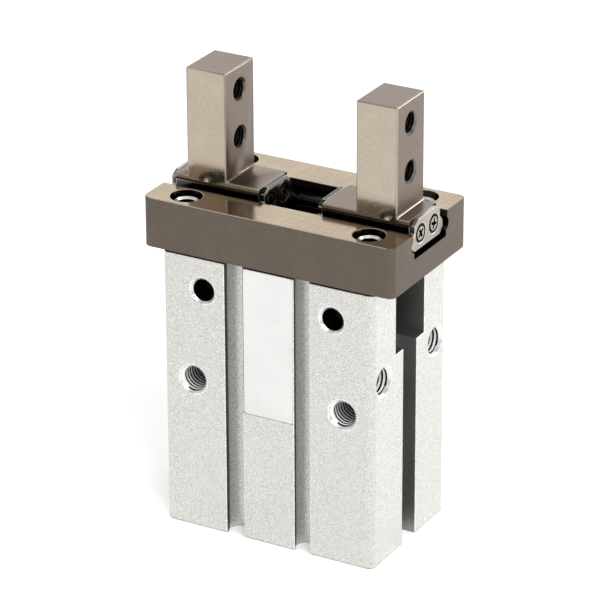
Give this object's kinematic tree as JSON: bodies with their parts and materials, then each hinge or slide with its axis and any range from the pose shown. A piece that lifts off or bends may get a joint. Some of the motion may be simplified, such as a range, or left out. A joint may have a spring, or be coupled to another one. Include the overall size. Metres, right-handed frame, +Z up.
{
  "type": "pneumatic gripper",
  "caption": "Double-acting pneumatic gripper: a rectangular cylinder body carries a guide rail on which two upright steel fingers slide together and apart in parallel.",
  "frame": {"origin": "centre of the body's bottom face", "axes": "+X along the finger stroke, +Z up from the body to the fingertips, -Y is the front face that carries the label; the air ports are on the +X side"},
  "size_m": [0.05, 0.0276, 0.0848],
  "materials": {
    "body_aluminium": "bead-blasted clear anodised",
    "cap_aluminium": "turned and anodised",
    "guide_steel": "ground and heat treated, warm grey",
    "finger_steel": "ground and heat treated",
    "plate_steel": "stamped stainless",
    "screw_steel": "plated",
    "dark_steel": "blackened",
    "polished_steel": "hardened and polished",
    "bronze": "sintered bearing bronze",
    "rubber": "nitrile",
    "magnet": "bonded magnet",
    "label_film": "blank white film"
  },
  "bodies": {
    "housing": {"cylinder_body": "body_aluminium", "guide_rail": "guide_steel", "label_plate": "label_film", "end_cap": "cap_aluminium", "end_cap_seal": "rubber", "retaining_ring": "dark_steel", "passage_plug": "dark_steel", "rod_seal": "rubber", "rod_seal_washer": "dark_steel", "bumper_upper": "rubber", "bumper_lower": "rubber", "lever_shaft_left": "polished_steel", "lever_shaft_right": "polished_steel", "guide_screw_left_front": "screw_steel", "guide_screw_left_rear": "screw_steel", "guide_screw_right_front": "screw_steel", "guide_screw_right_rear": "screw_steel"},
    "piston_assembly": {"piston_lower": "cap_aluminium", "piston_upper": "cap_aluminium", "piston_wear_ring": "bronze", "piston_seal": "rubber", "magnet_ring": "magnet", "piston_rod": "polished_steel", "piston_bolt": "dark_steel", "joint_block": "dark_steel", "joint_pin_left": "polished_steel", "joint_pin_right": "polished_steel", "joint_roller_left": "polished_steel", "joint_roller_right": "polished_steel"},
    "lever_arm_left": {"lever_left": "dark_steel", "lever_bush_left": "bronze"},
    "lever_arm_right": {"lever_right": "dark_steel", "lever_bush_right": "bronze"},
    "finger_slide_left": {"finger_left": "finger_steel", "end_plate_left_inner": "plate_steel", "end_plate_left_outer": "plate_steel", "plate_screw_left_inner_front": "screw_steel", "plate_screw_left_inner_rear": "screw_steel", "plate_screw_left_outer_front": "screw_steel", "plate_screw_left_outer_rear": "screw_steel", "ball_row_left_front": "polished_steel", "ball_row_left_rear": "polished_steel"},
    "finger_slide_right": {"finger_right": "finger_steel", "end_plate_right_inner": "plate_steel", "end_plate_right_outer": "plate_steel", "plate_screw_right_inner_front": "screw_steel", "plate_screw_right_inner_rear": "screw_steel", "plate_screw_right_outer_front": "screw_steel", "plate_screw_right_outer_rear": "screw_steel", "ball_row_right_front": "polished_steel", "ball_row_right_rear": "polished_steel"}
  },
  "joints": [
    {"name": "piston_stroke", "type": "slide", "parent": "housing", "child": "piston_assembly", "axis": [0, 0, -1], "range_m": [0, 0.00324]},
    {"name": "finger_travel_left", "type": "slide", "parent": "housing", "child": "finger_slide_left", "axis": [1, 0, 0], "range_m": [0, 0.005]},
    {"name": "finger_travel_right", "type": "slide", "parent": "housing", "child": "finger_slide_right", "axis": [-1, 0, 0], "range_m": [0, 0.005]},
    {"name": "lever_swing_left", "type": "hinge", "parent": "housing", "child": "lever_arm_left", "pos_m": [-0.013, 0, 0.0469], "axis": [0, 1, 0], "range_deg": [0, 22.9]},
    {"name": "lever_swing_right", "type": "hinge", "parent": "housing", "child": "lever_arm_right", "pos_m": [0.013, 0, 0.0469], "axis": [0, -1, 0], "range_deg": [0, 22.9]}
  ],
  "couplings": [
    {"joint": "finger_travel_left", "follows": "piston_stroke", "ratio": 1.5432},
    {"joint": "finger_travel_right", "follows": "piston_stroke", "ratio": 1.5432},
    {"joint": "lever_swing_left", "follows": "piston_stroke", "rad_per_m": 123.3},
    {"joint": "lever_swing_right", "follows": "piston_stroke", "rad_per_m": 123.3}
  ]
}
